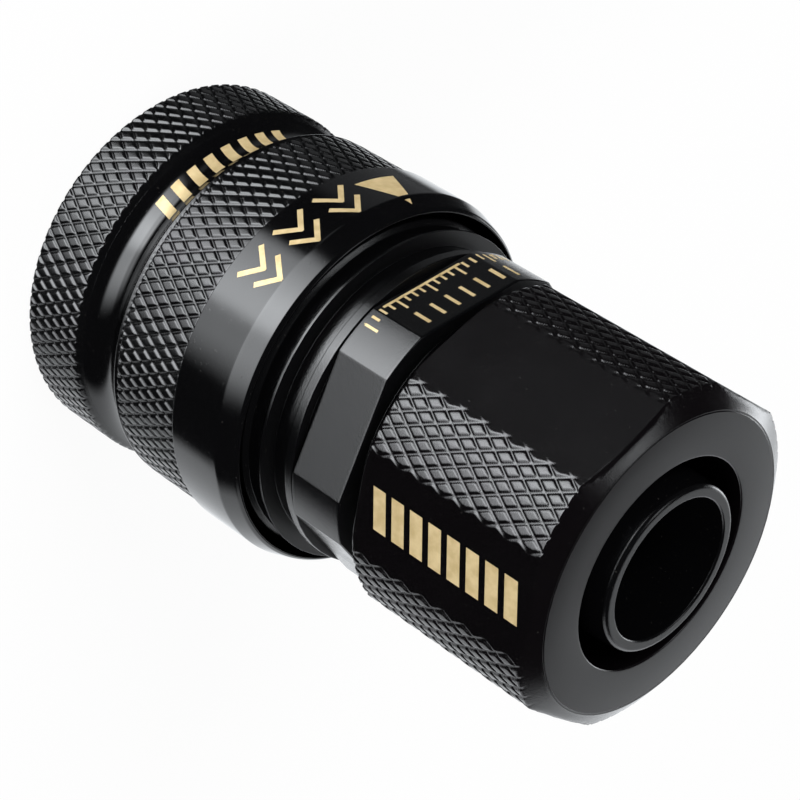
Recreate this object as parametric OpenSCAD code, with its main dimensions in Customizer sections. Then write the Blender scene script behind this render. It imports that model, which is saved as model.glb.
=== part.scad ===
// Liquid cooling quick coupling, socket half.
// A turned socket body holds a ring of locking balls, a spring-loaded valve sleeve
// and a fixed valve stem. A tail screws onto its rear end and carries a wrench hexagon,
// a hose barb and the nut that clamps the hose on the barb. A spring-loaded
// sleeve slides over the body: pulled towards the nut, it lets the balls
// move outwards and frees the plug.
// The coupling stands on its socket end. The origin is the centre of the socket's
// front face, and +Z runs along the axis towards the hose nut. All sizes are in mm.

/* [Plug socket] */
// Diameter of the bore that takes the plug
socket_d = 14; // [12:0.1:16]
// Depth from the front face to the closed valve faces
socket_depth = 9; // [8:0.1:10]
// How much wider the guide bore at the mouth is than the socket, in radius
guide_step = 0.25; // [0.21:0.01:0.4]
// Length of the guide bore, with its lead-in
guide_l = 2.1; // [1.6:0.05:2.3]
// Lead-in chamfer at the mouth of the socket
socket_chamfer = 0.3; // [0.1:0.05:0.6]
// Wall between the socket bore and the outside of the body
body_wall = 2.2; // [2:0.05:3]

/* [Locking balls] */
// Number of locking balls
ball_count = 8; // [4:1:8]
// Diameter of a locking ball
ball_d = 3; // [2.8:0.1:3.2]
// How far a locked ball stands into the socket
ball_reach = 0.8; // [0.6:0.05:0.9]
// Metal between the ball holes and the groove in front of them
ball_web = 0.54; // [0.3:0.02:1]

/* [Retaining ring] */
// Distance of the ring from the front face
ring_z = 1.1; // [0.8:0.1:1.6]
// Thickness of the ring
ring_t = 1; // [0.8:0.1:1.3]
// Depth of the ring's groove in the body
ring_groove = 0.6; // [0.4:0.05:0.8]
// How far the ring stands out of the body
ring_stand = 0.9; // [0.75:0.05:1.1]
// Width of the gap in the ring
ring_gap = 2; // [1:0.1:4]

/* [Pull sleeve] */
// How far the front edge of the sleeve stands back from the socket face
sleeve_setback = 0.05; // [0.05:0.05:0.5]
// Distance that the sleeve is pulled back to free the plug
pull_travel = 3.5; // [3:0.1:4]
// Wall around the spring chamber
sleeve_wall = 1; // [0.8:0.05:1.6]
// Wall at the rear rim of the sleeve
rim_wall = 0.65; // [0.5:0.05:0.8]
// Length of the wider bore at the rear of the sleeve
rim_l = 3.35; // [2.5:0.05:4]
// Length of the knurled band at the front
front_knurl_l = 4.5; // [3.6:0.05:6]
// Length of the finger groove between the knurled bands
waist_l = 3.85; // [3.4:0.05:6]
// Depth of the finger groove
waist_depth = 1.2; // [0.8:0.05:1.6]
// Length of the rear knurled band
rear_knurl_l = 5.4; // [4:0.05:6]
// Length of the smooth band behind it
band_l = 5.2; // [4.5:0.05:8]

/* [Knurl] */
// Distance between two neighbouring grooves, square to them
knurl_pitch = 0.8; // [0.8:0.1:1.4]
// Angle of the grooves to the axis
knurl_angle = 30; // [25:1:40]
// Height of a knurl point over its grooves
knurl_depth = 0.25; // [0.2:0.05:0.4]

/* [Springs] */
// Wire diameter of the sleeve spring
sleeve_wire = 1; // [0.8:0.05:1.2]
// Turns of the sleeve spring
sleeve_turns = 4; // [3:0.5:4.5]
// Wire diameter of the valve spring
valve_wire = 0.8; // [0.6:0.05:0.9]
// Turns of the valve spring
valve_turns = 4.5; // [3:0.5:5]

/* [Valve] */
// Distance that the plug pushes the valve sleeve back
valve_travel = 4.5; // [4:0.1:5]
// Length of the thin front part of the valve sleeve
valve_nose_l = 5; // [4.4:0.1:5.6]
// Thickness of the rear flange of the valve sleeve
valve_flange_t = 1.4; // [1:0.1:1.8]
// How far that flange stands out
valve_flange_stand = 0.6; // [0.4:0.05:0.8]
// Wall of the valve sleeve
valve_wall = 1.25; // [1:0.05:1.6]
// Diameter of the stem's head
stem_head_d = 8.5; // [7.6:0.1:9.4]
// Thickness of the stem's head
stem_head_t = 2.2; // [1.8:0.1:2.6]
// Diameter of the stem's shaft
stem_d = 3.8; // [3:0.1:4.4]
// Thickness of the stem's foot
foot_t = 1.5; // [1.2:0.1:2]
// Width of the foot's rim
foot_rim_w = 2.25; // [2:0.05:2.6]
// Number of spokes in the foot
foot_spokes = 4; // [3:1:6]
// Width of a spoke
spoke_w = 1.4; // [1:0.1:2]

/* [Seals] */
// Section of the seal that the plug slides through
plug_seal_d = 1.5; // [1.2:0.05:1.7]
// Section of the seal on the stem's head
stem_seal_d = 0.8; // [0.6:0.05:1]
// Section of the seal between body and tail
body_seal_d = 0.9; // [0.7:0.05:0.95]

/* [Tail] */
// Thickness of the flange behind the sleeve
flange_t = 2; // [1.6:0.1:3]
// How far the flange's front stands inside the sleeve
flange_overlap = 1.2; // [0.8:0.05:1.4]
// Wall of the body's spigot inside the tail
spigot_wall = 0.95; // [0.8:0.05:1.1]
// Wall of the turned neck round the spigot
neck_wall = 1.15; // [1:0.05:1.4]
// Length of the turned neck
neck_l = 1.55; // [1.2:0.05:3]
// How far the ring next to the hexagon stands out of the neck
collar_stand = 0.4; // [0.2:0.05:0.6]
// Length of that ring
collar_l = 0.65; // [0.4:0.05:1.2]
// Width of the undercut between that ring and the hexagon
undercut_l = 0.25; // [0.15:0.05:0.5]
// Wall at the middle of a hexagon flat
hex_wall = 1.08; // [0.9:0.02:1.5]
// How far the turned corners of the hexagon stand out over its flats
corner_stand = 0.72; // [0.4:0.02:1.2]
// Length of the hexagon
hex_l = 3.9; // [3:0.1:6]
// Length of the neck behind the nut
nut_neck_l = 1.1; // [0.8:0.05:2]

/* [Hose] */
// Inside diameter of the hose
hose_id = 10; // [9:0.1:10.5]
// Outside diameter of the hose
hose_od = 13; // [12:0.1:14]
// Wall of the barb
barb_wall = 0.6; // [0.4:0.05:1]
// How far a lip of the barb stands out
barb_stand = 0.35; // [0.2:0.05:0.45]
// How far the barb stands out of the nut
barb_proud = 0.6; // [0:0.05:2]
// Number of lips on the barb
barb_lips = 3; // [2:1:4]

/* [Compression nut] */
// How far the thread under the nut stands below the thread in the tail's bore
thread_drop = 0.03; // [0:0.01:0.5]
// Length of the thread under the nut
thread_l = 5.65; // [5:0.05:8]
// Room between the end of the thread and the nut's cone
cone_room = 1.15; // [0.8:0.05:3]
// Length of the opening that the hose passes through
mouth_l = 4.8; // [3:0.1:8]
// Wall at the middle of a flat
nut_wall = 1.5; // [1.4:0.02:2.4]
// How far the knurled strips stand out over the flats
strip_stand = 0.58; // [0.4:0.01:0.8]
// Length of the end chamfer along the axis
nut_chamfer_l = 0.85; // [0.4:0.05:1.5]
// Width of the end chamfer across the axis
nut_chamfer_w = 1.2; // [0.8:0.05:1.8]
// Turn of the nut's flats from the hexagon's flats, in degrees
nut_turn = 15.9; // [0:0.1:59]

/* [Hidden] */
$fn = 128;

// Finishes
plated = "#2b2c2e";
bright = "#a8a69f";
ball_steel = "#c4c6c9";
spring_steel = "#8b8f93";
seal_rubber = "#161616";

// Clearances
slide_gap = 0.1;      // between a sliding piece and its bore
seat_gap = 0.05;      // between a piece and the stop that it rests on
valve_gap = 0.07;     // round the valve sleeve
seal_gap = 0.03;      // between a seal and the piece that slides on it
thread_gap = 0.05;    // between two threads
groove_gap = 0.02;    // between a seal and the bottom of its groove
groove_side = 0.1;    // between a seal and the side of its groove
ball_gap = 0.06;      // round a ball in its hole
coil_gap = 0.25;      // between a spring and the walls beside it
ring_room = 0.2;      // round the retaining ring
hose_gap = 0.1;       // round the hose in the nut

// Small edges and steps
overcut = 1;          // length by which a cut runs past a face
bevel = 0.2;          // edge bevel of the turned pieces
fine_bevel = 0.1;     // edge bevel of thin steps
valve_step = 0.1;    // by which the valve's bore is narrower than the socket
stop_step = 0.2;      // by which the body's stop stands over the sleeve's land
knurl_lap = 0.15;     // by which a knurl ring reaches into the metal under it
knurl_drop = 0.18;    // by which the knurl points stand below the sleeve's smooth band
knurl_floor = 0.01;   // between a knurl's grooves and the turned root
ball_lip = 0.1;       // by which a ball hole narrows at the socket
waist_land = 0.16;    // land between the finger groove and the rear knurl
shoulder_back = 0.75; // from the rear knurl's start to the spring's shoulder inside
taper_share = 0.6;    // taper of the sleeve's rear end over its rim's wall
edge_share = 0.25;    // rounding of the edge after it, over the same wall
rear_taper_l = 1.2;   // length of that taper along the axis
hub_wall = 0.8;       // wall of the foot's hub round the stem
foot_cover = 0.75;    // tail's metal behind the foot, up to the hexagon's end
solid_room = 0.5;     // room left when the valve spring is pressed solid
nut_neck_step = 0.4;  // by which the neck behind the nut stands over the thread
nut_bevel = 0.3;      // bevel of the nut's rear edge
thread_chamfer = 0.5; // chamfer at the end of the tail's thread
throat_l = 3;         // length over which the barb's bore reaches past the thread end

// Socket body and balls
lip_share = 0.4;
socket_r = socket_d / 2;
guide_r = socket_r + guide_step;
body_r = socket_r + body_wall;
ball_r = ball_d / 2;
ball_locked_r = socket_r - ball_reach + ball_r;
ball_hole_r = ball_r + ball_gap;
ball_lip_r = ball_r - ball_lip;
ball_lip_at = ball_locked_r - ball_r * lip_share;
ring_out_r = body_r + ring_stand;
ring_in_r = body_r - ring_groove;
ring_end = ring_z + ring_t;
ball_z = ring_end + ball_hole_r + ball_web;

// Pull sleeve, from the bore outwards
land_r = max(body_r, ball_locked_r + ball_r) + slide_gap;
stop_r = land_r + stop_step;
chamber_r = stop_r + sleeve_wire + 2 * coil_gap;
sleeve_r = chamber_r + sleeve_wall;
rim_r = sleeve_r - rim_wall;
sleeve_coil_r = stop_r + coil_gap + sleeve_wire / 2;
ramp_slope = ball_reach / pull_travel;
sleeve_stop_z = ring_end + seat_gap;
ramp_end_r = land_r + ramp_slope * (ball_z - sleeve_stop_z);
ring_room_r = ring_out_r + ring_room;
crest_r = sleeve_r - knurl_drop;
root_r = crest_r - knurl_depth;

// Pull sleeve, from the front backwards
sleeve_front = sleeve_setback;
front_knurl_z = sleeve_front + fine_bevel;
waist_z = front_knurl_z + front_knurl_l;
rear_knurl_z = waist_z + waist_l;
band_z = rear_knurl_z + rear_knurl_l;
sleeve_rear = band_z + band_l;
waist_half = (waist_l - waist_land) / 2;
waist_mid_z = waist_z + waist_half;
waist_drop = waist_depth - knurl_drop;
waist_arc_r = (waist_half * waist_half + waist_drop * waist_drop) / (2 * waist_drop);
waist_turn = asin(waist_half / waist_arc_r);
rear_taper = rim_wall * taper_share;
rear_round = rim_wall * edge_share;
chamber_z = rear_knurl_z + shoulder_back;
stop_z = chamber_z + pull_travel + seat_gap;
flange_z = sleeve_rear - flange_overlap;

// Valve, from the bore outwards
valve_bore_r = socket_r - valve_step;
valve_r = valve_bore_r - valve_gap;
valve_in_r = valve_r - valve_wall;
valve_flange_r = valve_r + valve_flange_stand;
valve_chamber_r = valve_flange_r + slide_gap;
valve_coil_r = valve_flange_r - coil_gap - valve_wire / 2;
stem_r = stem_d / 2;
stem_head_r = stem_head_d / 2;
lip_r = stem_head_r + slide_gap;
spigot_r = valve_chamber_r + spigot_wall;
foot_r = spigot_r - slide_gap;
foot_rim_r = foot_r - foot_rim_w;
hub_r = stem_r + hub_wall;

// Valve and tail, from the front backwards. The foot lies behind whichever is longer:
// the valve with its spring pressed solid, or the flange and neck outside it.
valve_flange_z = socket_depth + valve_nose_l;
valve_rear_z = valve_flange_z + valve_flange_t;
lip_z = socket_depth + stem_head_t + bevel;
hex_base_l = neck_l + collar_l + undercut_l + hex_l;
flange_top = flange_z + flange_t;
foot_z = max(valve_rear_z + valve_travel + valve_turns * valve_wire + solid_room,
             flange_top + hex_base_l - foot_cover - foot_t);
foot_seat_z = foot_z + foot_t;
hex_top = foot_seat_z + foot_cover;
hex_z = hex_top - hex_l;
collar_top = hex_z - undercut_l;
collar_z = collar_top - collar_l;

// Tail, from the bore outwards
seat_share = 0.65;    // share of the foot's rim that rests on the tail
tail_bore_r = spigot_r + thread_gap;
seal_room_r = tail_bore_r + body_seal_d;
flange_r = chamber_r - coil_gap;
neck_r = tail_bore_r + neck_wall;
collar_r = neck_r + collar_stand;
hex_r = tail_bore_r + hex_wall;
corner_r = hex_r + corner_stand;
foot_seat_r = foot_rim_r + foot_rim_w * seat_share;

// Seals
plug_seal_z = socket_depth + 2;
plug_seal_coil_r = valve_r + seal_gap + plug_seal_d / 2;
plug_groove_r = plug_seal_coil_r + plug_seal_d / 2 + groove_gap;
plug_groove_half = plug_seal_d / 2 + groove_side;
stem_seal_z = socket_depth + stem_head_t / 2;
stem_seal_coil_r = lip_r - seal_gap - stem_seal_d / 2;
stem_groove_r = stem_seal_coil_r - stem_seal_d / 2 - groove_gap;
stem_groove_half = stem_seal_d / 2;
body_seal_coil_r = (spigot_r + seal_room_r) / 2;

// Nut and barb
thread_r = tail_bore_r - thread_drop;
nut_bore_r = thread_r + slide_gap;
mouth_r = hose_od / 2 + hose_gap;
nut_z = hex_top + nut_neck_l + seat_gap;
thread_end = nut_z + thread_l;
cone_z = thread_end + cone_room;
mouth_z = cone_z + nut_bore_r - mouth_r;
nut_end = mouth_z + mouth_l;
nut_flat_r = nut_bore_r + nut_wall;
nut_r = nut_flat_r + strip_stand;
nut_root_r = nut_r - knurl_depth;
nut_face_r = nut_r - nut_chamfer_w;
nut_neck_r = thread_r + nut_neck_step;
barb_root_r = hose_id / 2;
barb_bore_r = barb_root_r - barb_wall;
barb_lip_r = barb_root_r + barb_stand;
barb_end = nut_end + barb_proud;
lip_pitch = (barb_end - thread_end) / (barb_lips + 1);
throat_z = thread_end - throat_l;

// A turned solid from its outline, given as [height, radius] pairs.
module turned(outline) {
    rotate_extrude()
        polygon([for (p = outline) [p[1], p[0]]]);
}

// A drilled disc or tube between two heights.
module tube(z0, z1, outer, inner) {
    turned([[z0, inner], [z1, inner], [z1, outer], [z0, outer]]);
}

// A rubber ring of round section.
module o_ring(coil_r, section_d, z) {
    color(seal_rubber)
        translate([0, 0, z])
            rotate_extrude()
                translate([coil_r, 0]) circle(d = section_d, $fn = 32);
}

// A ring of diamond knurl between two heights. Points of the grid lie alternately
// at the crest and at the root, so each crest is the peak of a four-sided diamond.
module knurl_ring(z0, z1, root, crest) {
    cols = 2 * round(2 * PI * crest * cos(knurl_angle) / knurl_pitch);
    rows = max(2, round((z1 - z0) * 2 * sin(knurl_angle) / knurl_pitch));
    step = 360 / cols;
    row_l = (z1 - z0) / rows;
    back = root - knurl_lap;
    grid = [for (k = [0:rows], j = [0:cols - 1])
        let (r = (j + k) % 2 == 0 ? root + knurl_floor : crest)
            [r * cos(j * step), r * sin(j * step), z0 + k * row_l]];
    inner = [for (z = [z0, z1], j = [0:cols - 1])
        [back * cos(j * step), back * sin(j * step), z]];
    base = (rows + 1) * cols;
    top = rows * cols;
    skin = [for (k = [0:rows - 1], j = [0:cols - 1])
        let (a = k * cols + j, b = k * cols + (j + 1) % cols, c = a + cols, d = b + cols)
            each ((j + k) % 2 == 0 ? [[a, d, b], [a, c, d]] : [[a, c, b], [b, c, d]])];
    ends = [for (j = [0:cols - 1])
        let (n = (j + 1) % cols)
            each [[j, n, base + n, base + j],
                  [top + n, top + j, base + cols + j, base + cols + n],
                  [base + j, base + n, base + cols + n, base + cols + j]]];
    polyhedron(points = concat(grid, inner), faces = concat(skin, ends));
}

// A coil spring between two heights. Its pitch is small at both ends and largest at
// the middle, so the end turns lie nearly closed on their seats.
module coil_spring(coil_r, wire_d, turns, z0, z1) {
    sides = 8;
    per_turn = 20;
    rings = ceil(turns * per_turn);
    rise = z1 - z0 - wire_d;
    close = 0.3;
    function height(t) = z0 + wire_d / 2 + rise * (t - close * sin(360 * t) / (2 * PI));
    path = [for (i = [0:rings]) let (t = i / rings) [360 * turns * t, height(t)]];
    points = [for (p = path, s = [0:sides - 1])
        let (r = coil_r + wire_d / 2 * cos(360 * s / sides),
             z = p[1] + wire_d / 2 * sin(360 * s / sides))
            [r * cos(p[0]), r * sin(p[0]), z]];
    skin = [for (i = [0:rings - 1], s = [0:sides - 1])
        let (a = i * sides + s, b = i * sides + (s + 1) % sides)
            each [[a, b, b + sides], [a, b + sides, a + sides]]];
    caps = [[for (s = [sides - 1:-1:0]) s], [for (s = [0:sides - 1]) rings * sides + s]];
    color(spring_steel) polyhedron(points = points, faces = concat(skin, caps));
}

// The prism between six flats, with one flat facing -Y.
module hex_prism(flat_r, z0, z1) {
    translate([0, 0, z0])
        linear_extrude(z1 - z0)
            circle(r = flat_r / cos(30), $fn = 6);
}

// The front body: plug bore, seal groove, valve chamber and the spigot for the tail.
module socket_body() {
    color(plated)
        difference() {
            turned([
                [0, guide_r + socket_chamfer],
                [socket_chamfer, guide_r],
                [guide_l, guide_r],
                [guide_l + guide_step, socket_r],
                [socket_depth - seat_gap - valve_step, socket_r],
                [socket_depth - seat_gap, valve_bore_r],
                [plug_seal_z - plug_groove_half, valve_bore_r],
                [plug_seal_z - plug_groove_half, plug_groove_r],
                [plug_seal_z + plug_groove_half, plug_groove_r],
                [plug_seal_z + plug_groove_half, valve_bore_r],
                [valve_flange_z - seat_gap, valve_bore_r],
                [valve_flange_z - seat_gap, valve_chamber_r],
                [foot_z, valve_chamber_r],
                [foot_z, spigot_r],
                [flange_z, spigot_r],
                [flange_z, stop_r],
                [stop_z, stop_r],
                [stop_z, body_r],
                [ring_end, body_r],
                [ring_end, ring_in_r],
                [ring_z, ring_in_r],
                [ring_z, body_r],
                [bevel, body_r],
                [0, body_r - bevel]]);
            for (i = [0:ball_count - 1])
                rotate(360 / ball_count * i)
                    translate([0, 0, ball_z])
                        rotate([0, 90, 0]) {
                            translate([0, 0, ball_lip_at])
                                cylinder(r = ball_hole_r, h = body_r - ball_lip_at + overcut);
                            translate([0, 0, socket_r - overcut])
                                cylinder(r = ball_lip_r, h = overcut * 2);
                        }
        }
}

// One locking ball in its hole.
module locking_ball(i) {
    color(ball_steel)
        rotate(360 / ball_count * i)
            translate([ball_locked_r, 0, ball_z])
                sphere(r = ball_r, $fn = 48);
}

// The sleeve that the fingers pull: two knurled bands round a finger groove, then a
// smooth band. Inside are the land over the balls, its ramp and the spring chamber.
module pull_sleeve() {
    steps = 16;
    color(plated)
        difference() {
            union() {
                turned(concat(
                    [[sleeve_front, ring_room_r],
                     [sleeve_front, root_r - fine_bevel],
                     [front_knurl_z, root_r],
                     [waist_z - fine_bevel, root_r]],
                    [for (i = [0:steps])
                        let (a = waist_turn * (2 * i / steps - 1))
                            [waist_mid_z + waist_arc_r * sin(a),
                             sleeve_r - waist_depth + waist_arc_r * (1 - cos(a))]],
                    [[rear_knurl_z, crest_r],
                     [rear_knurl_z + fine_bevel, root_r],
                     [band_z - fine_bevel, root_r],
                     [band_z, sleeve_r],
                     [sleeve_rear - rear_round - rear_taper_l, sleeve_r],
                     for (a = [0:30:90])
                         [sleeve_rear - rear_round * (1 - sin(a)),
                          sleeve_r - rear_taper - rear_round * (1 - cos(a))],
                     [sleeve_rear, ring_room_r]]));
                knurl_ring(front_knurl_z, waist_z - fine_bevel, root_r, crest_r);
                knurl_ring(rear_knurl_z + fine_bevel, band_z - fine_bevel, root_r, crest_r);
            }
            turned([
                [sleeve_front - overcut, 0],
                [sleeve_front - overcut, ring_room_r],
                [sleeve_stop_z, ring_room_r],
                [sleeve_stop_z, ramp_end_r],
                [ball_z, land_r],
                [chamber_z, land_r],
                [chamber_z, chamber_r],
                [sleeve_rear - rim_l, chamber_r],
                [sleeve_rear - rim_l + rim_r - chamber_r, rim_r],
                [sleeve_rear + overcut, rim_r],
                [sleeve_rear + overcut, 0]]);
        }
}

module sleeve_spring() {
    coil_spring(sleeve_coil_r, sleeve_wire, sleeve_turns, chamber_z + seat_gap, flange_z - seat_gap);
}

// An open ring of flat section, snapped into the body's groove to hold the sleeve.
module retaining_ring() {
    color(spring_steel)
        difference() {
            tube(ring_z, ring_end, ring_out_r, ring_in_r);
            translate([0, -ring_gap / 2, ring_z - overcut])
                cube([ring_out_r + overcut, ring_gap, ring_t + 2 * overcut]);
        }
}

// The sleeve that closes the ring-shaped port round the stem's head.
module valve_sleeve() {
    color(bright)
        turned([
            [socket_depth, lip_r],
            [lip_z, lip_r],
            [lip_z + valve_in_r - lip_r, valve_in_r],
            [valve_rear_z, valve_in_r],
            [valve_rear_z, valve_flange_r],
            [valve_flange_z, valve_flange_r],
            [valve_flange_z, valve_r],
            [socket_depth + bevel, valve_r],
            [socket_depth, valve_r - bevel]]);
}

module valve_spring() {
    coil_spring(valve_coil_r, valve_wire, valve_turns, valve_rear_z + seat_gap, foot_z - seat_gap);
}

// The fixed stem: a flat head with a seal groove, a shaft, and a spoked foot that the
// body's spigot clamps against the tail.
module valve_stem() {
    color(bright)
        union() {
            turned([
                [socket_depth, 0],
                [socket_depth, stem_head_r - bevel],
                [socket_depth + bevel, stem_head_r],
                [stem_seal_z - stem_groove_half, stem_head_r],
                [stem_seal_z - stem_groove_half, stem_groove_r],
                [stem_seal_z + stem_groove_half, stem_groove_r],
                [stem_seal_z + stem_groove_half, stem_head_r],
                [socket_depth + stem_head_t, stem_head_r],
                [socket_depth + stem_head_t + stem_head_r - stem_r, stem_r],
                [foot_z, stem_r],
                [foot_z, hub_r],
                [foot_seat_z, hub_r],
                [foot_seat_z, 0]]);
            tube(foot_z, foot_seat_z, foot_r, foot_rim_r);
            for (i = [0:foot_spokes - 1])
                rotate(360 / foot_spokes * i)
                    translate([stem_r, -spoke_w / 2, foot_z])
                        cube([foot_rim_r + foot_rim_w / 4 - stem_r, spoke_w, foot_t]);
        }
}

// The outside of the barb: lips whose cones rise towards the thread.
function barb_outline() = concat(
    [[thread_end, barb_root_r]],
    [for (i = [barb_lips - 1:-1:0])
        let (z = barb_end - (i + 1) * lip_pitch)
            each [[z, barb_root_r], [z, barb_lip_r],
                  [z + lip_pitch - fine_bevel, barb_root_r + fine_bevel]]],
    [[barb_end, barb_root_r], [barb_end, 0]]);

// The tail: flange, wrench hexagon, nut thread and hose barb, turned from one bar.
module tail_body() {
    undercut_r = neck_r - bevel;
    color(plated)
        difference() {
            union() {
                turned(concat(
                    [[flange_z, 0],
                     [flange_z, flange_r - fine_bevel],
                     [flange_z + fine_bevel, flange_r],
                     [flange_top - fine_bevel, flange_r],
                     [flange_top, flange_r - fine_bevel],
                     [flange_top, neck_r],
                     [collar_z, neck_r],
                     [collar_z, collar_r - fine_bevel],
                     [collar_z + fine_bevel, collar_r],
                     [collar_top, collar_r],
                     [collar_top, undercut_r],
                     [hex_top - fine_bevel, undercut_r],
                     [hex_top - fine_bevel, nut_neck_r],
                     [nut_z - seat_gap, nut_neck_r],
                     [nut_z - seat_gap, thread_r],
                     [thread_end - thread_chamfer, thread_r],
                     [thread_end, thread_r - thread_chamfer]],
                    barb_outline()));
                intersection() {
                    hex_prism(hex_r, hex_z, hex_top);
                    turned([[hex_z, 0], [hex_z, corner_r - fine_bevel],
                            [hex_z + fine_bevel, corner_r], [hex_top - fine_bevel, corner_r],
                            [hex_top, corner_r - fine_bevel], [hex_top, 0]]);
                }
            }
            turned([
                [flange_z - overcut, 0],
                [flange_z - overcut, seal_room_r],
                [flange_z + body_seal_d, seal_room_r],
                [flange_z + body_seal_d, tail_bore_r],
                [foot_seat_z, tail_bore_r],
                [foot_seat_z, foot_seat_r],
                [foot_seat_z + bevel, foot_seat_r],
                [throat_z, barb_bore_r],
                [barb_end + overcut, barb_bore_r],
                [barb_end + overcut, 0]]);
        }
}

// The hose nut: knurled strips between six flats, a cone inside that grips the hose.
module compression_nut() {
    color(plated)
        rotate(nut_turn)
            difference() {
                intersection() {
                    union() {
                        tube(nut_z, nut_end, nut_root_r, mouth_r - overcut);
                        knurl_ring(nut_z + fine_bevel, nut_end - fine_bevel, nut_root_r, nut_r);
                    }
                    hex_prism(nut_flat_r, nut_z, nut_end);
                    turned([[nut_z, 0], [nut_z, nut_r - nut_bevel], [nut_z + nut_bevel, nut_r + fine_bevel],
                            [nut_end - nut_chamfer_l, nut_r + fine_bevel],
                            [nut_end, nut_face_r], [nut_end, 0]]);
                }
                turned([
                    [nut_z - overcut, 0],
                    [nut_z - overcut, nut_bore_r],
                    [cone_z, nut_bore_r],
                    [mouth_z, mouth_r],
                    [nut_end - fine_bevel, mouth_r],
                    [nut_end + fine_bevel, mouth_r + bevel],
                    [nut_end + fine_bevel, 0]]);
            }
}

module plug_seal() {
    o_ring(plug_seal_coil_r, plug_seal_d, plug_seal_z);
}

module stem_seal() {
    o_ring(stem_seal_coil_r, stem_seal_d, stem_seal_z);
}

module body_seal() {
    o_ring(body_seal_coil_r, body_seal_d, flange_z + body_seal_d / 2);
}

socket_body();
tail_body();
compression_nut();
pull_sleeve();
sleeve_spring();
retaining_ring();
valve_sleeve();
valve_spring();
valve_stem();
plug_seal();
stem_seal();
body_seal();
for (i = [1:ball_count])
    locking_ball(i - 1);
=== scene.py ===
import bpy
import numpy as np
from mathutils import Matrix


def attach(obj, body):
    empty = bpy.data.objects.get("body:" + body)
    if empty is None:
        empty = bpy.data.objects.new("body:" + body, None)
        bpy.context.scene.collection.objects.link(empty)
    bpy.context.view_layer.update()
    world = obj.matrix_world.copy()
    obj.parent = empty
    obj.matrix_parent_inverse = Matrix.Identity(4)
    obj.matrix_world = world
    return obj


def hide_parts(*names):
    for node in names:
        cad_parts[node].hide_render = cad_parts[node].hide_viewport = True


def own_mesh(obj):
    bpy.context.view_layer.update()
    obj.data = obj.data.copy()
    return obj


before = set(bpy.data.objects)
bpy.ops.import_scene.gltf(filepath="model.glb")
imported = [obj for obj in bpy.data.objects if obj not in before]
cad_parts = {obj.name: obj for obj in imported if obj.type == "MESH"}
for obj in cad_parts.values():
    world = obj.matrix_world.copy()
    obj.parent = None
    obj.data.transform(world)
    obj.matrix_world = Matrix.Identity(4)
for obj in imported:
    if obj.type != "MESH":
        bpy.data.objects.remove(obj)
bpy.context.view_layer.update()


# ---- Floor, studio light and camera ---------------------------------------------
# A pale table with the coupling standing on its socket end. Two lamps and the plain world
# light it. Glossy metal sees soft boxes of the world instead, between dark curtains.
scene = bpy.context.scene
scene.view_settings.view_transform = "Standard"

mm = 0.001
table = bpy.data.meshes.new("table")
table.from_pydata([(-2, -2, 0), (2, -2, 0), (2, 2, 0), (-2, 2, 0)], [], [(0, 1, 2, 3)])
table_top = bpy.data.objects.new("table", table)
scene.collection.objects.link(table_top)
table_top.visible_glossy = False


class Nodes:
    """Short hand for a node tree: each method adds one node and returns its output."""

    def __init__(self, tree):
        self.tree = tree
        tree.nodes.clear()

    def add(self, kind, output=0, inputs=None, **values):
        node = self.tree.nodes.new(kind)
        for name, value in values.items():
            setattr(node, name, value)
        for key, value in (inputs or {}).items():
            if isinstance(value, bpy.types.NodeSocket):
                self.tree.links.new(value, node.inputs[key])
            else:
                node.inputs[key].default_value = value
        return node.outputs[output] if len(node.outputs) else node

    def math(self, operation, a, b=0.0):
        return self.add("ShaderNodeMath", inputs={0: a, 1: b}, operation=operation)

    def ramp(self, value, low, high, to_low=0.0, to_high=1.0):
        """A smooth step from to_low at low to to_high at high."""
        return self.add("ShaderNodeMapRange", inputs={"Value": value, "From Min": low, "From Max": high,
                        "To Min": to_low, "To Max": to_high}, interpolation_type="SMOOTHSTEP")

    def noise(self, vector, scale, detail=3.0, rough=0.5):
        return self.add("ShaderNodeTexNoise", inputs={"Vector": vector, "Scale": scale,
                        "Detail": detail, "Roughness": rough})

    def blend(self, factor, a, b):
        node = self.tree.nodes.new("ShaderNodeMix")
        node.data_type = "RGBA"
        for socket, value in ((0, factor), (6, a), (7, b)):
            if isinstance(value, bpy.types.NodeSocket):
                self.tree.links.new(value, node.inputs[socket])
            else:
                node.inputs[socket].default_value = value
        return node.outputs[2]


def table_finish():
    """Matt white laminate. The camera sees it almost white, with a trace of shadow left."""
    mat = bpy.data.materials.new("table")
    mat.use_nodes = True
    n = Nodes(mat.node_tree)
    ray = n.add("ShaderNodeLightPath", output=0)
    grain = n.noise(n.add("ShaderNodeTexCoord", output=3), 60.0)
    pale = n.blend(grain, (0.80, 0.80, 0.80, 1), (0.82, 0.82, 0.82, 1))
    paint = n.add("ShaderNodeBsdfDiffuse", inputs={"Color": pale})
    white = n.add("ShaderNodeEmission", inputs={"Color": (1, 1, 1, 1), "Strength": 1.0})
    seen = n.add("ShaderNodeMixShader", inputs={0: n.math("MULTIPLY", ray, 0.93), 1: paint, 2: white})
    n.add("ShaderNodeOutputMaterial", inputs={"Surface": seen})
    return mat


table.materials.append(table_finish())

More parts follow.
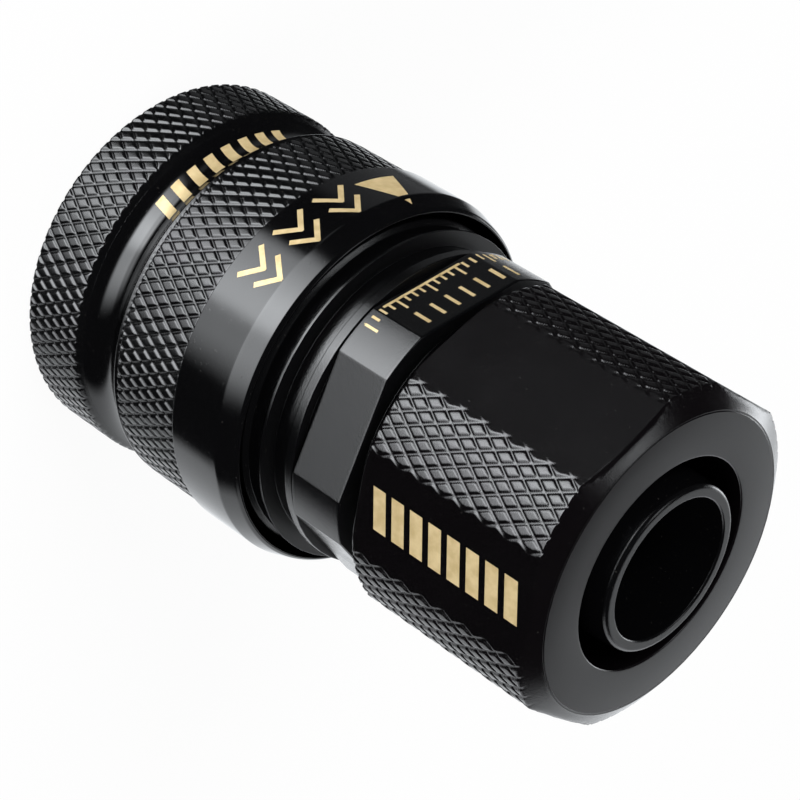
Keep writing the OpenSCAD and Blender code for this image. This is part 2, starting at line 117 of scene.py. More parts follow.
# What glossy metal sees, box by box: compass bearing, half width, height and half height
# in degrees, softness of the sides and of the top and bottom in degrees, brightness.
soft_boxes = (
    (-124, 23, -24, 28, 5, 5, 3.6),
    (-118, 14, -24, 28, 14, 6, 2.4),
    (-92, 20, -24, 28, 14, 7, 2.6),
    (-114, 16, -15, 20, 22, 4, 4.0),
    (-80, 14, -15, 20, 12, 4, 2.2),
    (-162, 8, -26, 8, 5, 5, 0.3),
    (47, 55, -27, 52, 6, 3, 1.15),
    (72, 22, 30, 3, 10, 3, 2.0),
    (138, 30, -38, 10, 6, 8, 0.15),
    (100, 10, 6, 8, 6, 4, 3.5),
    (150, 25, 66, 9, 10, 5, 2.2),
)


def studio(world):
    """White for the camera, plain light for matt surfaces, soft boxes between dark curtains for gloss."""
    world.use_nodes = True
    n = Nodes(world.node_tree)
    path = n.tree.nodes.new("ShaderNodeLightPath")
    way = n.add("ShaderNodeTexCoord", output=0)
    split = n.tree.nodes.new("ShaderNodeSeparateXYZ")
    n.tree.links.new(way, split.inputs[0])
    x, y, z = split.outputs
    degrees = 57.29578
    bearing = n.math("MULTIPLY", n.math("ARCTAN2", y, x), degrees)
    height = n.math("MULTIPLY", n.math("ARCSINE", z), degrees)
    glow = 0.02
    for middle, half, level, reach, soft, fade, bright in soft_boxes:
        turn = n.math("SUBTRACT", bearing, float(middle))
        whole_turns = n.math("MULTIPLY", n.math("ROUND", n.math("DIVIDE", turn, 360.0)), 360.0)
        turn = n.math("ABSOLUTE", n.math("SUBTRACT", turn, whole_turns))
        tall = n.math("ABSOLUTE", n.math("SUBTRACT", height, float(level)))
        across = n.ramp(turn, half + soft, half - soft)
        along = n.ramp(tall, reach + fade, reach - fade)
        glow = n.math("ADD", n.math("MULTIPLY", n.math("MULTIPLY", across, along), bright), glow)
    gloss = n.add("ShaderNodeBackground", inputs={"Color": (0.97, 1.0, 1.03, 1), "Strength": glow})
    plain = n.add("ShaderNodeBackground", inputs={"Color": (1, 1, 1, 1), "Strength": 0.55})
    white = n.add("ShaderNodeBackground", inputs={"Color": (1, 1, 1, 1), "Strength": 1.0})
    lit = n.add("ShaderNodeMixShader", inputs={0: path.outputs["Is Glossy Ray"], 1: plain, 2: gloss})
    seen = n.add("ShaderNodeMixShader", inputs={0: path.outputs["Is Camera Ray"], 1: lit, 2: white})
    n.add("ShaderNodeOutputWorld", inputs={"Surface": seen})


if scene.world is None:
    scene.world = bpy.data.worlds.new("studio")
studio(scene.world)


def lamp(name, place, target, size, power):
    """A square soft box at place that faces target; both in metres."""
    light = bpy.data.lights.new(name, "AREA")
    light.size = size
    light.energy = power
    box = bpy.data.objects.new(name, light)
    back = np.array(place, float) - np.array(target, float)
    back /= np.linalg.norm(back)
    side = np.cross((0, 0, 1), back)
    side /= np.linalg.norm(side)
    top = np.cross(back, side)
    turned = np.eye(4)
    turned[:3, 0], turned[:3, 1], turned[:3, 2], turned[:3, 3] = side, top, back, place
    box.matrix_world = Matrix(turned.tolist())
    box.visible_glossy = False
    scene.collection.objects.link(box)


lamp("left_box", (-0.45, -0.25, 0.45), (0, 0, 0.02), 0.35, 3.2)
lamp("right_box", (0.35, -0.35, 0.40), (0, 0, 0.02), 0.30, 1.6)

# The camera looks down on the nut end, rolled so that the coupling lies across the view.
camera = bpy.data.cameras.new("camera")
camera.lens = 114.69
camera.sensor_width = 36
camera.clip_start = 0.01
view = bpy.data.objects.new("camera", camera)
right = np.array((-0.34974, 0.63031, 0.69311))
up = np.array((-0.89779, -0.01410, -0.44020))
right /= np.linalg.norm(right)
up -= right * np.dot(right, up)
up /= np.linalg.norm(up)
stand = np.eye(4)
stand[:3, 0], stand[:3, 1], stand[:3, 2] = right, up, np.cross(right, up)
stand[:3, 3] = np.array((-40.175, -116.711, 106.289)) * mm
view.matrix_world = Matrix(stand.tolist())
scene.collection.objects.link(view)
scene.camera = view


# ---- Socket body, retaining ring and seals --------------------------------------
# The body is turned from brass and plated black. The ring is snapped into its groove,
# and black rubber rings seal the plug, the valve and the thread. All keep their CAD form.
def turned_coordinates(n):
    """Object coordinates and, from them, a vector of (distance from the axis, 0, height): a
    pattern in it runs round the axis like tool marks."""
    place = n.add("ShaderNodeTexCoord", output=3)
    split = n.tree.nodes.new("ShaderNodeSeparateXYZ")
    n.tree.links.new(place, split.inputs[0])
    x, y, z = split.outputs
    off_axis = n.math("SQRT", n.math("ADD", n.math("MULTIPLY", x, x), n.math("MULTIPLY", y, y)))
    round_axis = n.add("ShaderNodeCombineXYZ", inputs={0: off_axis, 1: 0.0, 2: z})
    return place, round_axis


def black_plating(name, gloss=0.11, face=0.40, lines=0.06, grain=0.0, tint=(0.0017, 0.0017, 0.0020)):
    """Deep black lacquered plating: a clear dark mirror of refractive index 1.5 with faint
    waves, tool lines round the axis and a few specks of dust. Faced ends are satin, and
    grain roughens it like fine leather."""
    mat = bpy.data.materials.new(name)
    mat.use_nodes = True
    n = Nodes(mat.node_tree)
    place, round_axis = turned_coordinates(n)
    haze = n.noise(place, 260.0, 4.0, 0.6)
    waves = n.noise(place, 900.0, 2.0, 0.5)
    specks = n.ramp(n.noise(place, 5200.0, 2.0, 0.5), 0.70, 0.76)
    cut = n.noise(round_axis, 9000.0, 2.0, 0.7)
    normal = n.add("ShaderNodeTexCoord", output=1)
    facing = n.tree.nodes.new("ShaderNodeSeparateXYZ")
    n.tree.links.new(normal, facing.inputs[0])
    faced = n.ramp(n.math("ABSOLUTE", facing.outputs[2]), 0.93, 0.995)
    rough = n.ramp(haze, 0.3, 0.7, gloss * 0.8, gloss * 1.2)
    rough = n.math("ADD", n.math("MULTIPLY", n.math("SUBTRACT", face, rough), faced), rough)
    skin = n.noise(place, 11000.0, 3.0, 0.6)
    colour = n.blend(specks, tuple(tint) + (1,), (0.018, 0.017, 0.016, 1))
    relief = n.add("ShaderNodeBump", inputs={"Strength": 0.10, "Distance": 0.00003, "Height": waves})
    for strength, depth, pattern in ((lines, 0.00002, cut), (0.10, 0.00003, specks), (grain, 0.00002, skin)):
        relief = n.add("ShaderNodeBump", inputs={"Strength": strength, "Distance": depth,
                       "Height": pattern, "Normal": relief})
    coat = n.add("ShaderNodeBsdfPrincipled", inputs={"Base Color": colour, "Metallic": 0.0, "IOR": 1.5,
                 "Roughness": rough, "Normal": relief})
    n.add("ShaderNodeOutputMaterial", inputs={"Surface": coat})
    return mat


def rubber(name):
    """Moulded black nitrile: matt, with a fine dusty grain."""
    mat = bpy.data.materials.new(name)
    mat.use_nodes = True
    n = Nodes(mat.node_tree)
    place = n.add("ShaderNodeTexCoord", output=3)
    grain = n.noise(place, 3000.0)
    dust = n.noise(place, 400.0)
    colour = n.blend(dust, (0.012, 0.012, 0.013, 1), (0.026, 0.026, 0.027, 1))
    relief = n.add("ShaderNodeBump", inputs={"Strength": 0.25, "Distance": 0.00002, "Height": grain})
    skin = n.add("ShaderNodeBsdfPrincipled", inputs={"Base Color": colour,
                 "Roughness": n.ramp(dust, 0.2, 0.8, 0.5, 0.65), "Normal": relief})
    n.add("ShaderNodeOutputMaterial", inputs={"Surface": skin})
    return mat


def wire(name, colour, rough):
    """Drawn or ground steel: fine lines and slight stains over a bright base."""
    mat = bpy.data.materials.new(name)
    mat.use_nodes = True
    n = Nodes(mat.node_tree)
    place, round_axis = turned_coordinates(n)
    stain = n.noise(place, 500.0)
    drawn = n.noise(round_axis, 7000.0)
    tone = n.blend(stain, tuple(0.85 * c for c in colour) + (1,), tuple(colour) + (1,))
    relief = n.add("ShaderNodeBump", inputs={"Strength": 0.12, "Distance": 0.00002, "Height": drawn})
    steel = n.add("ShaderNodeBsdfPrincipled", inputs={"Base Color": tone, "Metallic": 1.0,
                  "Roughness": n.ramp(stain, 0.2, 0.8, rough * 0.8, rough * 1.3), "Normal": relief})
    n.add("ShaderNodeOutputMaterial", inputs={"Surface": steel})
    return mat


def finish(node, mat):
    """A CAD node keeps its mesh and takes this finish in every material slot."""
    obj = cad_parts[node]
    if not obj.material_slots:
        obj.data.materials.append(mat)
    for place in obj.material_slots:
        place.material = mat


body_plating = black_plating("body_plating")
seal_rubber = rubber("seal_rubber")
finish("socket_body", body_plating)
finish("retaining_ring", wire("ring_steel", (0.50, 0.51, 0.52), 0.28))
for seal in ("plug_seal", "stem_seal", "body_seal"):
    finish(seal, seal_rubber)


# ---- Valve sleeve, valve stem and locking balls ---------------------------------
# The flat valve is nickel-plated brass: a sleeve that the plug pushes back round a
# fixed stem. The locking balls are polished stainless steel, loose in their holes.
bright_plating = wire("bright_plating", (0.62, 0.60, 0.55), 0.24)
finish("valve_sleeve", bright_plating)
finish("valve_stem", bright_plating)
polished = wire("ball_steel", (0.75, 0.76, 0.78), 0.10)
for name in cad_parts:
    if name.startswith("locking_ball"):
        finish(name, polished)


# ---- Springs --------------------------------------------------------------------
# Two coil springs of drawn steel wire. The larger pushes the pull sleeve forward, the
# smaller closes the valve. In use each is pressed together as its piece slides back; here
# each coil is built at one fixed length.
def wrapped_mesh(name, grid, round_rows=False):
    """Quads between neighbouring points of a grid of rows. The last column joins the first,
    and so does the last row where asked. Faces are turned outwards by the sign of the
    enclosed volume."""
    rows, columns = grid.shape[:2]
    index = np.arange(rows * columns).reshape(rows, columns)
    if round_rows:
        index = np.vstack([index, index[:1]])
    index = np.hstack([index, index[:, :1]])
    quads = np.stack([index[:-1, :-1], index[:-1, 1:], index[1:, 1:], index[1:, :-1]], -1).reshape(-1, 4)
    points = grid.reshape(-1, 3) * mm
    a, b, c, d = (points[quads[:, k]] for k in range(4))
    volume = (a * np.cross(b, c)).sum() + (a * np.cross(c, d)).sum()
    if volume < 0:
        quads = quads[:, ::-1]
    mesh = bpy.data.meshes.new(name)
    mesh.vertices.add(len(points))
    mesh.vertices.foreach_set("co", points.ravel())
    mesh.loops.add(quads.size)
    mesh.loops.foreach_set("vertex_index", quads.ravel().astype(np.int32))
    mesh.polygons.add(len(quads))
    mesh.polygons.foreach_set("loop_start", np.arange(0, quads.size, 4, dtype=np.int32))
    mesh.polygons.foreach_set("use_smooth", np.ones(len(quads), bool))
    mesh.update(calc_edges=True)
    mesh.validate()
    return mesh


def piece(name, mesh, body, mat, slot, *nodes):
    """Puts a finished mesh into the scene on its body, in place of the CAD nodes that it stands for."""
    obj = bpy.data.objects.new(name, mesh)
    scene.collection.objects.link(obj)
    mesh.materials.append(mat)
    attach(obj, body)
    if nodes:
        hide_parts(*nodes)
    return obj


def coil(name, coil_r, wire_r, turns, low, high):
    """A wire of round section swept along a helix. Its height rises slowly at both ends:
    height = low + rise (t - 0.3 sin(2 pi t) / 2 pi). The ends close to a point."""
    t = np.linspace(0, 1, int(turns * 72) + 1)
    angle = 2 * np.pi * turns * t
    rise = high - low - 2 * wire_r
    middle = low + wire_r + rise * (t - 0.3 * np.sin(2 * np.pi * t) / (2 * np.pi))
    section = np.linspace(0, 2 * np.pi, 17)[:-1]
    size = np.ones_like(t)
    t, angle, middle, size = (np.concatenate([v[:1], v, v[-1:]]) for v in (t, angle, middle, size))
    size[0] = size[-1] = 1e-3
    reach = coil_r + wire_r * size[:, None] * np.cos(section)
    grid = np.stack([reach * np.cos(angle)[:, None], reach * np.sin(angle)[:, None],
                     middle[:, None] + wire_r * size[:, None] * np.sin(section)], -1)
    return wrapped_mesh(name, grid)


spring_steel = wire("spring_steel", (0.50, 0.51, 0.52), 0.25)
sleeve_spring = piece("sleeve_coil", coil("sleeve_coil", 10.25, 0.5, 4, 9.3, 17.85),
                      "spring_carrier", spring_steel, "spring_steel", "sleeve_spring")
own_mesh(sleeve_spring)
valve_spring = piece("valve_coil", coil("valve_coil", 6.78, 0.4, 4.5, 15.45, 23.95),
                     "coupling_body", spring_steel, "spring_steel", "valve_spring")
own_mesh(valve_spring)


# ---- Pull sleeve ----------------------------------------------------------------
# The sleeve is turned from brass, rolled with two bands of diamond knurl round a
# finger groove, and plated black. It slides on the body against its spring.
def eased(corners, ease, closed=True):
    """An outline with its corners rounded: each corner becomes a quadratic curve that starts
    and ends ease away from it, with one more point beyond each end to hold the flats flat.
    An open outline keeps its two ends as they are."""
    corners = np.array(corners, float)
    ease = np.broadcast_to(np.asarray(ease, float), (len(corners),))[:, None]
    back = np.roll(corners, 1, 0) - corners
    on = np.roll(corners, -1, 0) - corners
    back_l = np.linalg.norm(back, axis=1, keepdims=True)
    on_l = np.linalg.norm(on, axis=1, keepdims=True)
    start = corners + back / back_l * np.minimum(ease, back_l * 0.3)
    end = corners + on / on_l * np.minimum(ease, on_l * 0.3)
    s = np.linspace(0, 1, 6)[None, :, None]
    arc = (1 - s) ** 2 * start[:, None] + 2 * s * (1 - s) * corners[:, None] + s ** 2 * end[:, None]
    before = corners + back / back_l * np.minimum(2 * ease, back_l * 0.45)
    after = corners + on / on_l * np.minimum(2 * ease, on_l * 0.45)
    rounded = np.concatenate([before[:, None], arc, after[:, None]], 1)
    if closed:
        return rounded.reshape(-1, 2)
    return np.concatenate([corners[:1], rounded[1:-1].reshape(-1, 2), corners[-1:]])


def lathe(outline, angle):
    """Carries an outline of (height, radius) round the axis through the given angles:
    x = r cos a, y = r sin a, z = height."""
    z, r = outline[:, :1], outline[:, 1:]
    return np.stack([r * np.cos(angle), r * np.sin(angle), z + 0 * angle], -1)


knurl_slope = np.tan(np.radians(30))


def knurl_relief(rise, turn, depth=0.12):
    """How far a knurled surface lies under its crest. Two families of grooves run along
    turn + rise and turn - rise, both in pitches. With the distance to the nearest groove's
    middle, the relief is depth (half - distance) / (half - floor), held between nothing and
    depth. The pads between crown by 0.02 mm."""
    relief = 0.0
    crown = 0.0
    for way, half, floor in ((turn + rise, 0.18, 0.045), (turn - rise, 0.145, 0.02)):
        off = np.abs((way + 0.5) % 1 - 0.5)
        relief = np.maximum(relief, depth * np.clip((half - off) / (half - floor), 0, 1))
        crown = crown + 0.02 * (1 - 2 * off) ** 3
    return np.maximum(relief, crown * (relief < depth / 2))


def knurl_band(name, low, high, crest, envelope, inside, count, start=0.0, per=17):
    """A closed ring whose outside is the knurl, cut off by the envelope, pairs of (height,
    radius), and whose inside lies in the metal below. No groove is cut below the height
    start. Rows and columns share the grooves' lead, so that every groove is cut alike."""
    width = 2 * np.pi * crest / count
    step = width / per / knurl_slope
    height = low + 0.004 + step * np.arange(int((high - low) / step) + 1)
    height = np.concatenate([[low], height[height < high - 0.008], [high - 0.004, high]])
    rise = (height - low - 0.004) * knurl_slope / width
    turn = np.arange(count * per) / per
    envelope = np.array(envelope)
    reach = np.minimum(crest - knurl_relief(rise[:, None], turn[None, :]) * (height[:, None] > start),
                       np.interp(height, envelope[:, 0], envelope[:, 1])[:, None])
    reach = np.concatenate([reach, np.full((2, len(turn)), inside)])
    height = np.concatenate([height, [high, low]])[:, None]
    angle = 2 * np.pi * turn / count
    grid = np.stack([reach * np.cos(angle), reach * np.sin(angle), height + 0 * angle], -1)
    return wrapped_mesh(name, grid, round_rows=True)


def groove_radius(height):
    """The finger groove is an arc of radius 2.18 about the height 6.495, 10.8 from the axis at its lowest."""
    return 10.8 + 2.179 - np.sqrt(2.179 ** 2 - (np.asarray(height) - 6.495) ** 2)


front_seam, rear_seam = 4.95, 8.25
groove_z = np.concatenate([[front_seam, front_seam + 0.004], np.linspace(4.97, 8.23, 50),
                           [rear_seam - 0.004, rear_seam]])
finger_groove = np.stack([groove_z, groove_radius(groove_z)], -1)
front_part = eased([(0.05, 10.3), (0.05, 11.5), (0.15, 11.55), (4.6, 11.55), (4.94, 11.3)], 0.05, closed=False)
rear_part = eased(
    [(8.26, 11.5), (13.8, 11.5), (13.9, 11.6), (13.9, 12.0), (17.74, 12.0), (18.94, 11.61), (19.1, 11.45),
     (19.1, 11.35), (15.75, 11.35), (15.4, 11.0), (9.25, 11.0), (9.25, 9.3), (4.2, 9.3), (2.15, 9.77),
     (2.15, 10.3), (0.05, 10.3)],
    (0, 0.05, 0.05, 0.05, 0.1, 0.08, 0.04, 0.04, 0.1, 0.1, 0.1, 0.1, 0.1, 0.1, 0.1, 0), closed=False)[:-1]
sleeve_outline = np.concatenate([front_part, finger_groove, rear_part])
into_groove = [(z, float(groove_radius(z))) for z in (4.66, 4.7, 4.75, 4.8, 4.85, 4.9, 4.95)]
out_of_groove = [(z, float(groove_radius(z))) for z in (8.25, 8.28, 8.31, 8.335)]
sleeve_plating = black_plating("sleeve_plating")
knurl_plating = black_plating("knurl_plating", gloss=0.2, face=0.2, lines=0.0, grain=0.3)
all_round = np.linspace(0, 2 * np.pi, 289)[:-1]
piece("sleeve_shell", wrapped_mesh("sleeve_shell", lathe(sleeve_outline, all_round), round_rows=True),
      "sleeve", sleeve_plating, "black_plated_brass", "pull_sleeve")

sleeve_crest, sleeve_root, sleeve_grooves = 11.84, 11.2, 82
front_envelope = [(0.07, 11.6), (0.22, 11.9), (4.4, 11.9), (4.44, 11.83)] + into_groove
rear_envelope = out_of_groove + [(8.36, 11.81), (8.45, 11.82), (8.52, 11.7), (8.64, 11.82), (8.68, 11.9),
                                 (13.82, 11.9), (13.88, 11.75)]
front_knurl = knurl_band("sleeve_front_knurl", 0.07, front_seam, sleeve_crest, front_envelope, sleeve_root,
                         sleeve_grooves)
rear_knurl = knurl_band("sleeve_rear_knurl", rear_seam, 13.88, sleeve_crest, rear_envelope, sleeve_root,
                        sleeve_grooves, start=8.5)
piece("sleeve_front_knurl", front_knurl, "sleeve", knurl_plating, "black_plated_brass", "pull_sleeve")
piece("sleeve_rear_knurl", rear_knurl, "sleeve", knurl_plating, "black_plated_brass", "pull_sleeve")


# ---- Tail -----------------------------------------------------------------------
# The tail is one turned bar of brass, screwed on the body: flange, neck, ring, wrench
# hexagon with turned corners, thread under the nut and hose barb. It is plated black.
def hexagon(grid, flat_r, low, high, turn=0.0):
    """Cuts six flats on a lathe-turned grid between two heights: radius = min(radius, flat_r
    / cos(angle from the nearest flat's middle)), eased at both ends."""
    angle = np.arctan2(grid[..., 1], grid[..., 0]) - np.radians(turn)
    off = (angle + np.pi / 6) % (np.pi / 3) - np.pi / 6
    reach = np.hypot(grid[..., 0], grid[..., 1])
    z = grid[..., 2]
    within = (z >= low - 1e-6) & (z <= high + 1e-6) & (reach > flat_r - 0.2)
    drop = np.interp(z, [low, low + 0.07, high - 0.07, high], [0.07, 0, 0, 0.07])
    cut = np.where(within, np.minimum(reach, (flat_r - drop) / np.cos(off)), reach)
    return grid * np.stack([cut / reach, cut / reach, np.ones_like(cut)], -1)


def sector_angles(half_flat, turn=0.0):
    """Columns for a bar with six flats: wide on the flats and close together at both sides of each edge."""
    flat = np.array([-0.95, -0.6, -0.3, 0, 0.3, 0.6, 0.95]) * (half_flat - 0.8)
    flat = np.concatenate([[-half_flat - 0.3, -half_flat - 0.1, -half_flat + 0.15, -half_flat + 0.6], flat,
                           [half_flat - 0.6, half_flat - 0.15, half_flat + 0.1, half_flat + 0.3]])
    corner = half_flat + (60 - 2 * half_flat) * np.array([0.15, 0.3, 0.5, 0.7, 0.85])
    sector = np.sort(np.concatenate([flat, corner]))
    return np.radians((sector[None, :] + 60 * np.arange(6)[:, None]).ravel() + turn)


lip_z = 35.1875 + 2.1375 * np.arange(3)
lips = [corner for z in lip_z for corner in ((z, 5.0), (z, 5.35), (z + 2.0375, 5.1))][:-1]
barb_tip = [(41.3 + 0.3 * np.sin(a), 4.9 + 0.3 * np.cos(a)) for a in np.radians(np.arange(0, 91, 15))]
barb_tip += [(41.45 + 0.15 * np.cos(a), 4.55 - 0.15 * np.sin(a)) for a in np.radians(np.arange(0, 91, 15))]
tail_outline = eased(
    [(17.9, 8.53), (17.9, 10.75), (18.6, 10.75), (18.8, 10.4), (19.85, 10.4), (19.97, 10.7),
     (20.15, 10.7), (20.15, 9.68), (21.45, 9.68), (21.45, 10.08),
     (22.1, 10.08), (22.1, 9.48), (22.35, 9.48), (22.35, 10.33), (26.25, 10.33), (26.25, 8.93),
     (27.35, 8.93), (27.35, 8.5), (32.55, 8.5), (33.05, 8.0), (33.05, 5.0)]
    + lips + barb_tip + [(30.05, 4.4), (25.7, 7.59), (25.5, 8.53)],
    [0.05, 0.1, 0.05, 0.05, 0.03, 0.03, 0.03, 0.05, 0.04, 0.07, 0.07, 0.03, 0.03, 0.1, 0.1, 0.05, 0.05, 0.1, 0.1,
     0.1, 0.05] + [0.04] * len(lips) + [0.02] * len(barb_tip) + [0.3, 0.1, 0.1])
hexagon_flat, hexagon_corner, hexagon_turn = 9.61, 10.33, 30.0
tail_grid = hexagon(lathe(tail_outline, sector_angles(21.5, hexagon_turn)), hexagon_flat, 22.35, 26.25,
                    hexagon_turn)
tail_plating = black_plating("tail_plating", gloss=0.16, grain=0.45)
piece("tail", wrapped_mesh("tail", tail_grid, round_rows=True),
      "coupling_body", tail_plating, "black_plated_brass", "tail_body")


# ---- Hose nut -------------------------------------------------------------------
# The nut that clamps the hose is brass, knurled all over, then milled with six flats
# and chamfered, and plated black. It turns on the tail's thread.
nut_turn, nut_flat, nut_crest = 15.9, 10.1, 10.68
nut_grooves, nut_per = 73, 14


def nut_angles():
    """Columns of the nut: at every fourteenth of the knurl's pitch where a knurled strip
    lies, wide on the flats between."""
    step = 360 / (nut_grooves * nut_per)
    parts = []
    for sector in range(6):
        middle = nut_turn + 30 + 60 * sector
        parts.append(middle + np.array([-13.8, -13.4, -11, -6, 0, 6, 11, 13.4, 13.8]))
        parts.append(step * np.arange(np.ceil((middle + 14) / step), np.floor((middle + 46) / step) + 1))
    return np.radians(np.concatenate(parts))


def nut_grid():
    """The nut's outside is the lowest of three radii: the knurl, the flat's plane, and the
    turned envelope with its bevel and end chamfer."""
    width = 2 * np.pi * nut_crest / nut_grooves
    outside = np.arange(27.5, 40.0, width / nut_per / knurl_slope)
    outside = np.concatenate([[27.4, 27.42, 27.46], outside, [40.05, 40.12, 40.16, 40.2, 40.24, 40.28, 40.36, 40.5,
                              40.65, 40.8, 40.9, 40.94, 40.96, 40.975, 40.99, 41.0]])
    envelope = np.interp(outside, [27.4, 27.46, 27.7, 40.16, 40.24, 40.94, 40.975, 41.0],
                         [10.3, 10.42, 10.8, 10.8, 10.66, 9.51, 9.46, 9.42])
    angle = nut_angles()
    off = (angle - np.radians(nut_turn + 30) + np.pi / 6) % (np.pi / 3) - np.pi / 6
    rise = (outside[:, None] - 27.5) * knurl_slope / width
    knurled = nut_crest - knurl_relief(rise, angle[None, :] * nut_grooves / (2 * np.pi))
    reach = np.minimum(np.minimum(knurled, nut_flat / np.cos(off)[None, :]), envelope[:, None])
    shell = np.stack([reach * np.cos(angle), reach * np.sin(angle), outside[:, None] + 0 * angle], -1)
    bore = eased([(41.0, 9.3), (41.0, 6.68), (40.94, 6.6), (36.2, 6.6), (34.2, 8.6), (27.4, 8.6), (27.4, 10.1)],
                 (0.02, 0.08, 0.08, 0.1, 0.1, 0.1, 0.02))[::2]
    return np.concatenate([shell, lathe(bore, angle)])


nut_plating = black_plating("nut_plating", gloss=0.15, grain=0.45, tint=(0.0021, 0.0016, 0.0020))
piece("hose_nut", wrapped_mesh("hose_nut", nut_grid(), round_rows=True),
      "nut", nut_plating, "black_plated_brass", "compression_nut")


# ---- Marks ----------------------------------------------------------------------
# Laser marks burn the plating away, so bright brass shows: a solid arrow head for the
# direction of pull with chevrons beside it, and plain bars and ticks elsewhere. Each mark
# is a thin inlay that stands a hair over its surface.
def brass_mark():
    """Satin brass bared by a laser, with fine hatching from the beam."""
    mat = bpy.data.materials.new("brass_mark")
    mat.use_nodes = True
    n = Nodes(mat.node_tree)
    place, round_axis = turned_coordinates(n)
    burn = n.noise(place, 1400.0)
    hatch = n.noise(round_axis, 5200.0)
    colour = n.blend(n.ramp(burn, 0.25, 0.75), (0.56, 0.42, 0.20, 1), (0.72, 0.57, 0.31, 1))
    relief = n.add("ShaderNodeBump", inputs={"Strength": 0.15, "Distance": 0.00001, "Height": hatch})
    brass = n.add("ShaderNodeBsdfPrincipled", inputs={"Base Color": colour, "Metallic": 0.25, "Roughness": 0.45,
                  "Normal": relief})
    n.add("ShaderNodeOutputMaterial", inputs={"Surface": brass})
    return mat


def strokes_mesh(name, strokes, surface):
    """Flat strokes laid on a surface: each stroke is a quad of (across, along) corners, filled
    by bilinear blending of its corners on a 9 by 9 grid and carried on to the surface. It
    stands 0.008 mm over the surface and reaches 0.03 mm under it, with closed sides."""
    s = np.linspace(0, 1, 9)
    u, v = np.meshgrid(s, s, indexing="ij")
    corners = np.array(strokes, float)
    weights = np.stack([(1 - u) * (1 - v), u * (1 - v), u * v, (1 - u) * v], -1)
    flat = np.einsum("uvc,kcd->kuvd", weights, corners)
    top = surface(flat[..., 0], flat[..., 1], 0.008)
    low = surface(flat[..., 0], flat[..., 1], -0.03)
    rim_u = np.concatenate([np.zeros(9), np.arange(1, 9), np.full(8, 8), np.arange(7, 0, -1)]).astype(int)
    rim_v = np.concatenate([np.arange(9), np.full(8, 8), np.arange(7, -1, -1), np.zeros(7)]).astype(int)
    index = np.arange(81).reshape(9, 9)
    face = np.stack([index[:-1, :-1], index[1:, :-1], index[1:, 1:], index[:-1, 1:]], -1).reshape(-1, 4)
    rim = index[rim_u, rim_v]
    skirt = np.stack([rim, np.roll(rim, -1), np.roll(rim, -1) + 81, rim + 81], -1)
    one = np.concatenate([face, face[:, ::-1] + 81, skirt])
    points = np.concatenate([top.reshape(len(corners), 81, 3), low.reshape(len(corners), 81, 3)], 1)
    faces = (one[None] + 162 * np.arange(len(corners))[:, None, None]).reshape(-1, 4)
    points = points.reshape(-1, 3) * mm
    a, b, c, d = (points[faces[:, k]] for k in range(4))
    if (a * np.cross(b, c)).sum() + (a * np.cross(c, d)).sum() < 0:
        faces = faces[:, ::-1]
    mesh = bpy.data.meshes.new(name)
    mesh.from_pydata(points, [], faces)
    mesh.update()
    return mesh


def wrapped(middle, reach):
    """A turned surface for strokes in millimetres: across runs round the axis from the angle
    middle, and reach gives the radius at a height and angle."""
    def place(across, height, lift):
        angle = np.radians(middle) + across / 11.0
        r = reach(height, angle) + lift
        return np.stack([r * np.cos(angle), r * np.sin(angle), height], -1)
    return place


def band_radius(height, angle):
    """The smooth band is a cylinder and then a taper."""
    return np.interp(height, [17.6, 17.74, 18.94], [12.0, 11.99, 11.61])


def hexagon_radius(height, angle):
    """The tail's hexagon, flats and turned corners alike."""
    off = (angle - np.radians(hexagon_turn) + np.pi / 6) % (np.pi / 3) - np.pi / 6
    return np.minimum(hexagon_corner, hexagon_flat / np.cos(off))


def on_nut_flat(across, height, lift):
    """Millimetres across one flat of the nut, from its middle, and height."""
    a = np.radians(nut_turn - 90)
    r = nut_flat + lift
    return np.stack([r * np.cos(a) - across * np.sin(a), r * np.sin(a) + across * np.cos(a), height], -1)


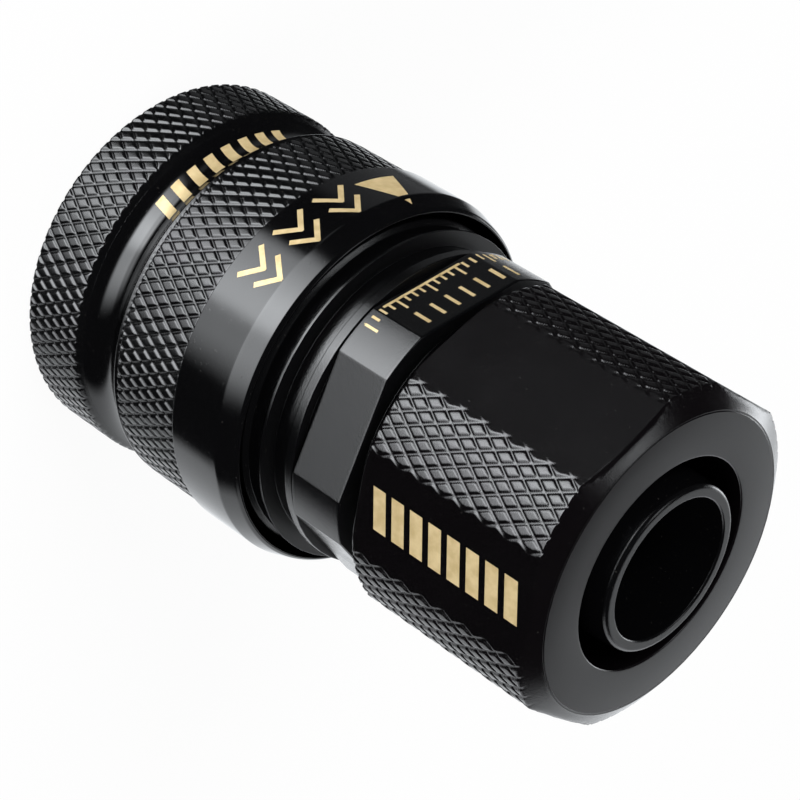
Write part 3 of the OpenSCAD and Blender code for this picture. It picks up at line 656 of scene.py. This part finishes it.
def bar(a, b, half):
    """The quad round the line from a to b, in (across, along), half wide on each side."""
    a, b = np.array(a, float), np.array(b, float)
    side = np.array([-(b - a)[1], (b - a)[0]]) / np.linalg.norm(b - a) * half
    return [a - side, b - side, b + side, a + side]


def slanted(start, step, number, low, high, width, slant):
    """Upright parallelograms in a row across the surface, each width wide, leaning by slant."""
    at = start + step * np.arange(number)
    return [[(a, low), (a + width, low), (a + width + slant, high), (a + slant, high)] for a in at]


marks = brass_mark()
arrow = [[(-1.45, 15.2), (1.45, 15.2), (0.02, 18.4), (-0.02, 18.4)]]
piece("arrow_mark", strokes_mesh("arrow_mark", arrow, wrapped(-165.2, band_radius)), "sleeve", marks,
      "black_plated_brass")
chevrons = []
for middle in (-2.9, 0.0, 2.9):
    for foot in (14.75, 16.15):
        chevrons.append(bar((middle - 1.0, foot), (middle + 0.08, foot + 1.35), 0.16))
        chevrons.append(bar((middle + 1.0, foot), (middle - 0.08, foot + 1.35), 0.16))
piece("chevron_marks", strokes_mesh("chevron_marks", chevrons, wrapped(-134, band_radius)), "sleeve", marks,
      "black_plated_brass")
piece("groove_marks", strokes_mesh("groove_marks", slanted(-5.2, 1.36, 8, 5.65, 7.25, 0.72, 0.35),
      wrapped(-145.5, lambda height, angle: groove_radius(height))), "sleeve", marks, "black_plated_brass")
ticks = [bar((a, 22.75), (a, 23.35 if k % 4 else 23.75), 0.09)
         for k, a in enumerate(np.arange(-6.4, 6.41, 0.64))]
ticks += [bar((-6.4, 22.75), (6.4, 22.75), 0.09)]
ticks += [bar((a, 24.35), (a, 25.55), 0.13) for a in np.arange(-3.9, 3.91, 1.3)]
piece("scale_marks", strokes_mesh("scale_marks", ticks, wrapped(-156, hexagon_radius)), "coupling_body", marks,
      "black_plated_brass")
flat_bars = [[(-1.25, z), (-1.25, z + 0.95), (1.25, z + 1.5), (1.25, z + 0.55)]
             for z in 28.3 + 1.42 * np.arange(8)]
piece("nut_marks", strokes_mesh("nut_marks", flat_bars, on_nut_flat), "nut", marks, "black_plated_brass")
